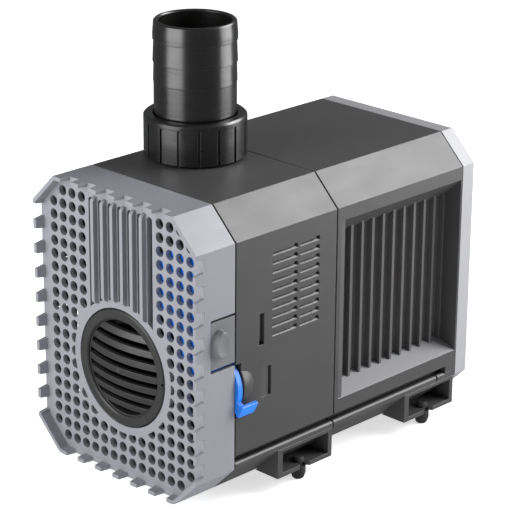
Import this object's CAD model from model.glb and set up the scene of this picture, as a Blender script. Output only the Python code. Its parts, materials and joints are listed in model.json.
import json
from math import cos, pi, radians, sin

import bpy
from mathutils import Matrix, Vector


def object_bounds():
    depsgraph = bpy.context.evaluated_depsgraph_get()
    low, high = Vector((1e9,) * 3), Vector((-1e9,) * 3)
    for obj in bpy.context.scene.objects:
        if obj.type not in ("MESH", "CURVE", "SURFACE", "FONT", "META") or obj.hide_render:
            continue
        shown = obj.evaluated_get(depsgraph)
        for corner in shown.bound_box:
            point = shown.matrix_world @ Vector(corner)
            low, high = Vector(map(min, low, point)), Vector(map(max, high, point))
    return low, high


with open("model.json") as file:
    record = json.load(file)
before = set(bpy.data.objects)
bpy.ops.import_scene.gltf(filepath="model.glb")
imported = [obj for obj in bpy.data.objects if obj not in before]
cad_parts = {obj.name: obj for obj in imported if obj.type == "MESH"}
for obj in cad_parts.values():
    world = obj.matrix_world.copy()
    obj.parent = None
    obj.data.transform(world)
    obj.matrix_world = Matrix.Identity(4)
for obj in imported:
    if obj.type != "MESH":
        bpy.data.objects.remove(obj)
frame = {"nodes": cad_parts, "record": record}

cad_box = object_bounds()
nodes = frame["nodes"]
scene = bpy.context.scene


# ---- Camera ----
AZIMUTH = radians(44.07)      # from the front, toward the lever's side
ELEVATION = radians(20.54)
ROLL = radians(0.52)
DISTANCE = 1.0792
LENS = 152.04
SENSOR = 36.0
AIM_SIDE = 0.0034             # metres off the box's middle
AIM_DEPTH = -0.0055
AIM_HEIGHT = 0.422            # share of the box's height


def add_camera():
    """Sets the camera at its viewing angle, aimed a little below the shell's middle."""
    low, high = cad_box
    aim = Vector((
        (low[0] + high[0]) / 2 + AIM_SIDE,
        (low[1] + high[1]) / 2 + AIM_DEPTH,
        low[2] + AIM_HEIGHT * (high[2] - low[2]),
    ))
    away = Vector((
        sin(AZIMUTH) * cos(ELEVATION), -cos(AZIMUTH) * cos(ELEVATION), sin(ELEVATION)
    ))
    right = (-away).cross(Vector((0, 0, 1))).normalized()
    up = right.cross(-away)
    rolled_right = cos(ROLL) * right + sin(ROLL) * up
    rolled_up = -sin(ROLL) * right + cos(ROLL) * up
    data = bpy.data.cameras.new("camera")
    data.lens = LENS
    data.sensor_width = SENSOR
    camera = bpy.data.objects.new("camera", data)
    turn = Matrix((rolled_right, rolled_up, away)).transposed().to_4x4()
    camera.matrix_world = Matrix.Translation(aim + DISTANCE * away) @ turn
    scene.collection.objects.link(camera)
    scene.camera = camera


# ---- Light and floor ----
FLOOR_SIZE = 12
FLOOR_ALBEDO = 0.93
FLOOR_GLOW = 0.62
SURROUND = (0.95, 0.97, 1.0, 1)
SURROUND_STRENGTH = 0.15
PANEL_CLEARANCE = 0.002         # gap between a standing panel and the floor

# Azimuths and elevations are in degrees; azimuths run from the front toward the lever's side.
# Each row: name, azimuth, distance, width, height, radiance.
PANELS = (
    ("front_panel", -11.5, 0.62, 0.50, 0.80, 4.4),
    ("side_panel", 139, 0.62, 0.46, 0.90, 5.4),
)
# Name, azimuth, elevation, distance, width, height, radiance.
SOFTBOX = ("rear_softbox", 158, 41, 1.0, 0.75, 0.34, 7.4)


def add_light(name, width, height, radiance, place, turn):
    """A rectangular light that the camera doesn't see."""
    data = bpy.data.lights.new(name, "AREA")
    data.shape = "RECTANGLE"
    data.size = width
    data.size_y = height
    data.energy = radiance * pi * width * height
    light = bpy.data.objects.new(name, data)
    light.location = place
    light.rotation_euler = turn
    light.visible_camera = False
    scene.collection.objects.link(light)


def add_panel(name, azimuth, distance, width, height, radiance):
    """A tall light panel that stands on the floor and faces the object."""
    low, high = cad_box
    turn = radians(azimuth)
    place = (
        (low[0] + high[0]) / 2 + distance * sin(turn),
        (low[1] + high[1]) / 2 - distance * cos(turn),
        low[2] + height / 2 + PANEL_CLEARANCE,
    )
    add_light(name, width, height, radiance, place, (pi / 2, 0, turn))


def add_softbox(name, azimuth, elevation, distance, width, height, radiance):
    """A light held above the floor and aimed at the object's middle."""
    low, high = cad_box
    middle = Vector([(a + b) / 2 for a, b in zip(low, high)])
    turn = radians(azimuth)
    rise = radians(elevation)
    toward = Vector((sin(turn) * cos(rise), -cos(turn) * cos(rise), sin(rise)))
    aim = toward.to_track_quat("Z", "Y").to_euler()
    add_light(name, width, height, radiance, middle + distance * toward, aim)


def add_stage():
    """A pale floor that runs far past the view, a dim surround and three lights."""
    bpy.ops.mesh.primitive_plane_add(size=FLOOR_SIZE, location=(0, 0, cad_box[0][2]))
    floor = bpy.context.object
    floor.name = "floor"
    floor.visible_glossy = False
    material = bpy.data.materials.new("floor_paper")
    material.use_nodes = True
    shader = material.node_tree.nodes["Principled BSDF"]
    shader.inputs["Base Color"].default_value = (FLOOR_ALBEDO, FLOOR_ALBEDO, FLOOR_ALBEDO, 1)
    shader.inputs["Roughness"].default_value = 0.9
    shader.inputs["Specular IOR Level"].default_value = 0.0
    shader.inputs["Emission Color"].default_value = (1, 1, 1, 1)
    shader.inputs["Emission Strength"].default_value = FLOOR_GLOW
    floor.data.materials.append(material)
    world = bpy.data.worlds.new("surround")
    world.use_nodes = True
    world.node_tree.nodes["Background"].inputs["Color"].default_value = SURROUND
    world.node_tree.nodes["Background"].inputs["Strength"].default_value = SURROUND_STRENGTH
    scene.world = world
    scene.view_settings.view_transform = "Standard"
    for panel in PANELS:
        add_panel(*panel)
    add_softbox(*SOFTBOX)


# ---- Materials ----
class Tree:
    """A material's node tree, with short calls to add and join nodes."""

    def __init__(self, name):
        self.material = bpy.data.materials.new(name)
        self.material.use_nodes = True
        self.tree = self.material.node_tree
        self.shader = self.tree.nodes["Principled BSDF"]
        self.place = self.add("ShaderNodeTexCoord").outputs["Object"]

    def add(self, kind, **values):
        made = self.tree.nodes.new(kind)
        for key, value in values.items():
            setattr(made, key, value)
        return made

    def join(self, output, target):
        self.tree.links.new(output, target)

    def noise(self, size, detail=3.0, stretch=(1, 1, 1), rough=0.5):
        """Noise whose features are about size metres across."""
        mapping = self.add("ShaderNodeMapping")
        mapping.inputs["Scale"].default_value = [s / size for s in stretch]
        self.join(self.place, mapping.inputs["Vector"])
        made = self.add("ShaderNodeTexNoise")
        made.inputs["Scale"].default_value = 1.0
        made.inputs["Detail"].default_value = detail
        made.inputs["Roughness"].default_value = rough
        self.join(mapping.outputs["Vector"], made.inputs["Vector"])
        return made.outputs["Fac"]

    def spread(self, source, low, high, start=0.3, end=0.7):
        """Maps a noise to a range of values."""
        made = self.add("ShaderNodeMapRange")
        made.inputs["From Min"].default_value = start
        made.inputs["From Max"].default_value = end
        made.inputs["To Min"].default_value = low
        made.inputs["To Max"].default_value = high
        self.join(source, made.inputs["Value"])
        return made.outputs["Result"]

    def maths(self, operation, first, second):
        made = self.add("ShaderNodeMath", operation=operation)
        for socket, value in zip(made.inputs, (first, second)):
            if isinstance(value, (int, float)):
                socket.default_value = value
            else:
                self.join(value, socket)
        return made.outputs["Value"]

    def mix(self, factor, first, second, blend="MIX"):
        """Mixes two colours; each is a colour or another node's output."""
        made = self.add("ShaderNodeMix", data_type="RGBA", blend_type=blend)
        self.join(factor, made.inputs["Factor"])
        for socket, value in ((made.inputs[6], first), (made.inputs[7], second)):
            if isinstance(value, tuple):
                socket.default_value = (*value, 1)
            else:
                self.join(value, socket)
        return made.outputs[2]

    def edges(self, width):
        """1 along sharp edges and 0 on flats, with the rounded normal that goes with it."""
        bevel = self.add("ShaderNodeBevel", samples=6)
        bevel.inputs["Radius"].default_value = width
        flat = self.add("ShaderNodeNewGeometry").outputs["Normal"]
        dot = self.add("ShaderNodeVectorMath", operation="DOT_PRODUCT")
        self.join(bevel.outputs["Normal"], dot.inputs[0])
        self.join(flat, dot.inputs[1])
        mask = self.spread(dot.outputs["Value"], 1.0, 0.0, 0.80, 0.995)
        return mask, bevel.outputs["Normal"]

    def bump(self, height, depth, normal=None, strength=1.0):
        made = self.add("ShaderNodeBump")
        made.inputs["Strength"].default_value = strength
        made.inputs["Distance"].default_value = depth
        self.join(height, made.inputs["Height"])
        if normal is not None:
            self.join(normal, made.inputs["Normal"])
        return made.outputs["Normal"]


def shade(colour, amount):
    """A colour made lighter or darker by a factor."""
    return tuple(min(1.0, c * amount) for c in colour)


SILL_FACING = (0.90, 0.97)      # upward part of the sill's normal


def moulded(name, colour, rough=0.40, mottle=0.06, grain=0.00045, depth=0.000012,
            wear=0.3, edge=0.00035, specular=0.5, rings=False, sill=None):
    """Moulded plastic: fine spark-eroded grain, soft mottling, scuffed lighter edges.

    With sill, faces that lean like a louvre window's sill take that colour instead.
    """
    t = Tree(name)
    cloud = t.noise(0.022, 4.0)
    speck = t.noise(grain, 2.0)
    base = t.mix(t.spread(cloud, 0.0, 1.0), shade(colour, 1 - mottle), shade(colour, 1 + mottle))
    base = t.mix(t.spread(speck, 0.0, 0.35), base, shade(colour, 1 - 2 * mottle))
    mask, rounded = t.edges(edge)
    scuffed = t.maths("MULTIPLY", mask, t.spread(t.noise(0.004, 3.0), 0.2, 1.0))
    worn = t.maths("MULTIPLY", scuffed, wear)
    lighter = tuple(c + (0.75 - c) * 0.45 for c in colour)
    finished = t.mix(worn, base, lighter)
    if sill:
        # The two windows' sills are the only faces that lean by this much
        facing = t.add("ShaderNodeSeparateXYZ")
        t.join(t.add("ShaderNodeNewGeometry").outputs["Normal"], facing.inputs["Vector"])
        steeper = t.maths("GREATER_THAN", facing.outputs["Z"], SILL_FACING[0])
        flatter = t.maths("LESS_THAN", facing.outputs["Z"], SILL_FACING[1])
        finished = t.mix(t.maths("MULTIPLY", steeper, flatter), finished, sill)
    t.join(finished, t.shader.inputs["Base Color"])
    smear = t.noise(0.011, 5.0, stretch=(1.0, 0.45, 1.4))
    t.join(t.spread(smear, rough - 0.025, rough + 0.035), t.shader.inputs["Roughness"])
    normal = t.bump(speck, depth, rounded)
    if rings:
        lines = t.noise(0.0011, 2.0, stretch=(0.01, 0.01, 1.0))
        normal = t.bump(lines, 0.00003, normal)
    t.join(normal, t.shader.inputs["Normal"])
    t.shader.inputs["Specular IOR Level"].default_value = specular
    return t.material


def rubber(name, colour):
    """Black rubber with a dusty bloom."""
    t = Tree(name)
    bloom = t.noise(0.006, 5.0)
    base = t.mix(t.spread(bloom, 0.0, 1.0), colour, shade(colour, 2.2))
    mask, rounded = t.edges(0.0003)
    worn = t.maths("MULTIPLY", mask, 0.2)
    t.join(t.mix(worn, base, (0.16, 0.16, 0.16)), t.shader.inputs["Base Color"])
    t.join(t.spread(bloom, 0.55, 0.78), t.shader.inputs["Roughness"])
    t.join(t.bump(t.noise(0.0004, 2.0), 0.00002, rounded), t.shader.inputs["Normal"])
    t.shader.inputs["Specular IOR Level"].default_value = 0.35
    return t.material


def metal(name, colour, rough, stretch=(1, 1, 1)):
    """Plain machined metal with fine scratches and dull patches."""
    t = Tree(name)
    scratches = t.noise(0.0006, 4.0, stretch=stretch)
    patches = t.noise(0.003, 3.0)
    dull = t.mix(t.spread(patches, 0.0, 1.0), shade(colour, 0.85), shade(colour, 1.1))
    t.join(dull, t.shader.inputs["Base Color"])
    t.join(t.spread(scratches, rough - 0.08, rough + 0.12), t.shader.inputs["Roughness"])
    _, rounded = t.edges(0.0002)
    t.join(t.bump(scratches, 0.000008, rounded), t.shader.inputs["Normal"])
    t.shader.inputs["Metallic"].default_value = 1.0
    return t.material


def ceramic(name, colour):
    """Ground ceramic: off-white with faint grinding marks round the axis."""
    t = Tree(name)
    marks = t.noise(0.0008, 2.0, stretch=(0.05, 1.0, 0.05))
    t.join(t.mix(t.spread(marks, 0.0, 1.0), shade(colour, 0.93), colour), t.shader.inputs["Base Color"])
    t.join(t.spread(marks, 0.12, 0.25), t.shader.inputs["Roughness"])
    t.join(t.bump(marks, 0.000004), t.shader.inputs["Normal"])
    return t.material


CAGE = (0.235, 0.24, 0.265)
BODY = (0.058, 0.056, 0.056)
LOUVRE = (0.085, 0.082, 0.082)
BEZEL = (0.30, 0.30, 0.32)
GRILLE = (0.028, 0.028, 0.027)
TAB = (0.15, 0.155, 0.165)
BLUE = (0.022, 0.21, 0.82)
BLACK = (0.007, 0.007, 0.0065)
INNER = (0.008, 0.008, 0.008)

MATERIALS = {
    "cage_grey": moulded("cage_plastic", CAGE, rough=0.40, mottle=0.03, wear=0.45),
    "body_graphite": moulded("body_plastic", BODY, mottle=0.05),
    "louvre_graphite": moulded("louvre_plastic", LOUVRE, rough=0.40, mottle=0.05, wear=0.30),
    "bezel_grey": moulded("bezel_plastic", BEZEL, rough=0.40, mottle=0.03, wear=0.40),
    "grille_dark": moulded("grille_plastic", GRILLE, rough=0.38, mottle=0.06, wear=0.30),
    "tab_grey": moulded("tab_plastic", TAB, rough=0.40, mottle=0.04, wear=0.35),
    "control_blue": moulded("blue_plastic", BLUE, rough=0.30, mottle=0.05, wear=0.15),
    "outlet_black": moulded(
        "outlet_plastic", BLACK, rough=0.25, mottle=0.10, wear=0.18, specular=0.85, rings=True
    ),
    "inner_black": moulded("inner_plastic", INNER, rough=0.60, mottle=0.10, wear=0.10, specular=0.25),
    "rubber_black": rubber("black_rubber", (0.014, 0.014, 0.014)),
    "screw_steel": metal("screw_steel", (0.56, 0.56, 0.57), 0.32),
    "magnet": metal("ferrite", (0.07, 0.07, 0.08), 0.55),
    "ceramic": ceramic("ceramic", (0.80, 0.79, 0.74)),
    "lamination": metal("lamination_steel", (0.20, 0.20, 0.22), 0.40, stretch=(0.1, 1.0, 0.1)),
    "copper": metal("winding_copper", (0.60, 0.26, 0.12), 0.35, stretch=(1.0, 0.1, 1.0)),
}


OWN_MATERIALS = {
    "motor_housing": moulded("housing_plastic", BODY, mottle=0.05, sill=BEZEL),
}


def give_materials():
    """Every CAD node takes its own detailed material, or else that of its slot in the record."""
    slots = {row["node"]: row["material_slot"] for row in frame["record"]["subparts"]}
    for name, piece in nodes.items():
        material = OWN_MATERIALS.get(name, MATERIALS[slots[name]])
        if not piece.material_slots:
            piece.data.materials.append(material)
        for own in piece.material_slots:
            own.material = material


add_camera()
add_stage()
give_materials()
